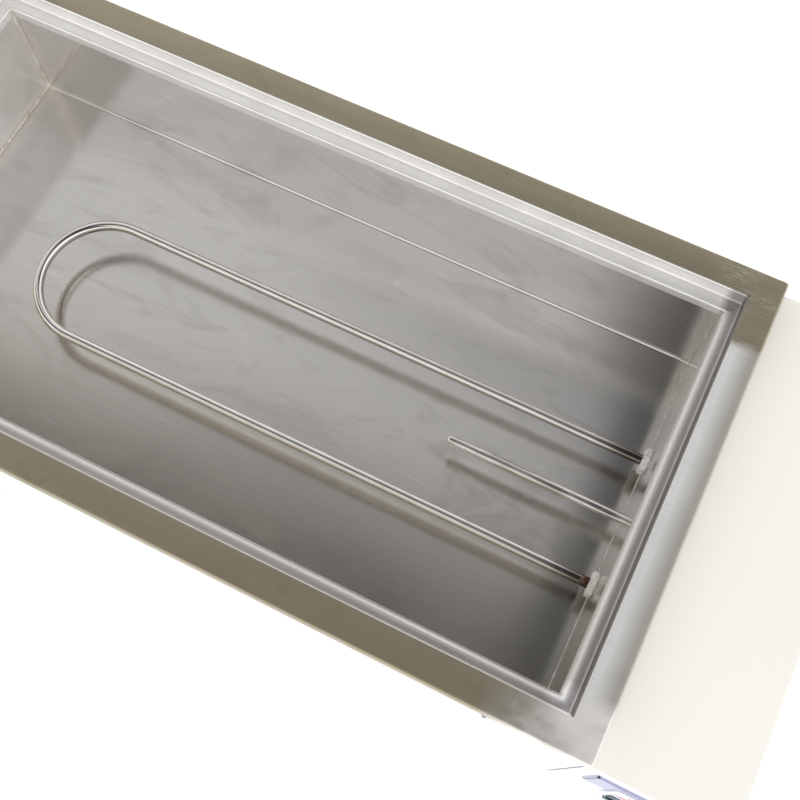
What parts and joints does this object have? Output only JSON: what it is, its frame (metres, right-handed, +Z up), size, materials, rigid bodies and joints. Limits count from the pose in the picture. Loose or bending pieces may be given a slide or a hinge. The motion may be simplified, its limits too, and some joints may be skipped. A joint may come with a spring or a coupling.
{
  "type": "paraffin wax bath",
  "caption": "Open rectangular stainless wax bath with a rebated rim, a U-shaped immersion heater and a probe in the tank, a coated casing and a control box at one end.",
  "frame": {"origin": "on the table, under the middle of the bath's overall box", "axes": "+Z up; +X along the bath towards the control box; -Y is the front, with the controls; +Y is the back, with the cord gland"},
  "size_m": [0.8558, 0.3804, 0.24],
  "materials": {
    "stainless_tank": "2B cold-rolled stainless steel, satin with a soft mirror, weld seams at the ends",
    "stainless_rim": "stainless steel, brushed and ground at the mitred corners",
    "heater_sheath": "polished stainless tube, tarnished near the wall",
    "scaled_nut": "nickel-plated, dull and scaled",
    "silicone": "pale silicone",
    "brass": "nickel-free brass, satin",
    "ceramic": "matt ceramic",
    "zinc_steel": "zinc-plated sheet steel",
    "chrome": "bright nickel or chrome plate",
    "coat_white": "fine powder coat, white",
    "coat_cream": "semi-gloss powder coat, cream",
    "glass_wool": "yellow glass wool",
    "fascia_film": "printed film, pale lavender",
    "bezel_grey": "moulded ABS, fine texture",
    "black_plastic": "moulded nylon, matt",
    "key_rubber": "moulded keys, satin",
    "lens_red": "red acrylic filter",
    "lamp_amber": "diffused LED",
    "rocker_teal": "glossy moulded rocker",
    "board": "solder-masked board",
    "wire_pvc": "PVC insulation",
    "fuse_glass": "clear glass",
    "ptfe": "white PTFE",
    "grip_red": "dipped vinyl sleeve",
    "rubber_black": "moulded rubber"
  },
  "bodies": {
    "bath": {"tank_trough": "stainless_tank", "tank_end_left": "stainless_tank", "tank_end_right": "stainless_tank", "rim_front": "stainless_rim", "rim_back": "stainless_rim", "rim_left": "stainless_rim", "rim_right": "stainless_rim", "heater_tube": "heater_sheath", "heater_bushes": "scaled_nut", "heater_gaskets": "silicone", "heater_lock_nuts": "brass", "heater_insulators": "ceramic", "heater_terminals": "zinc_steel", "probe_well": "stainless_tank", "temperature_sensor": "zinc_steel", "shell_front": "coat_white", "shell_back": "coat_white", "shell_left": "coat_white", "partition": "zinc_steel", "base_pan": "zinc_steel", "support_rails": "zinc_steel", "hanger_brackets": "stainless_tank", "insulation_sides": "glass_wool", "insulation_ends": "glass_wool", "insulation_base": "glass_wool", "control_cover": "coat_cream", "control_front": "coat_white", "control_back": "coat_white", "fascia": "fascia_film", "controller_bezel": "bezel_grey", "controller_housing": "black_plastic", "controller_board": "board", "display_lens": "lens_red", "indicator_lamps": "lamp_amber", "switch_housing": "black_plastic", "relay": "black_plastic", "terminal_block": "black_plastic", "internal_wiring": "wire_pvc", "gland_body": "black_plastic", "gland_nut": "black_plastic", "gland_seal": "rubber_black", "fuse_holder": "black_plastic", "drain_pipe": "stainless_tank", "valve_body": "brass", "valve_tail": "brass", "valve_seats": "ptfe", "feet": "rubber_black", "screws": "chrome"},
    "power_rocker": {"power_rocker": "rocker_teal"},
    "key_set": {"key_set": "key_rubber"},
    "key_mode": {"key_mode": "key_rubber"},
    "key_down": {"key_down": "key_rubber"},
    "key_up": {"key_up": "key_rubber"},
    "fuse_cap": {"fuse_cap": "black_plastic", "fuse_link": "fuse_glass"},
    "drain_lever": {"drain_ball": "chrome", "drain_stem": "chrome", "drain_lever": "zinc_steel", "lever_grip": "grip_red", "lever_nut": "zinc_steel"}
  },
  "joints": [
    {"name": "power_rocker_tip", "type": "hinge", "parent": "bath", "child": "power_rocker", "pos_m": [0.3781, -0.1858, 0.0835], "axis": [0, 0, 1], "range_deg": [-17.4, 0]},
    {"name": "key_set_press", "type": "slide", "parent": "bath", "child": "key_set", "axis": [0, 1, 0], "range_m": [0, 0.0006], "stiffness_N_per_m": 400, "springref_m": -0.0003},
    {"name": "key_mode_press", "type": "slide", "parent": "bath", "child": "key_mode", "axis": [0, 1, 0], "range_m": [0, 0.0006], "stiffness_N_per_m": 400, "springref_m": -0.0003},
    {"name": "key_down_press", "type": "slide", "parent": "bath", "child": "key_down", "axis": [0, 1, 0], "range_m": [0, 0.0006], "stiffness_N_per_m": 400, "springref_m": -0.0003},
    {"name": "key_up_press", "type": "slide", "parent": "bath", "child": "key_up", "axis": [0, 1, 0], "range_m": [0, 0.0006], "stiffness_N_per_m": 400, "springref_m": -0.0003},
    {"name": "fuse_cap_turn", "type": "hinge", "parent": "bath", "child": "fuse_cap", "pos_m": [0.3781, 0.17219, 0.1052], "axis": [0, 1, 0], "range_deg": [0, 45]},
    {"name": "drain_lever_turn", "type": "hinge", "parent": "bath", "child": "drain_lever", "pos_m": [-0.3679, -0.1023, 0.1386], "axis": [0, 0, 1], "range_deg": [0, 90]}
  ]
}
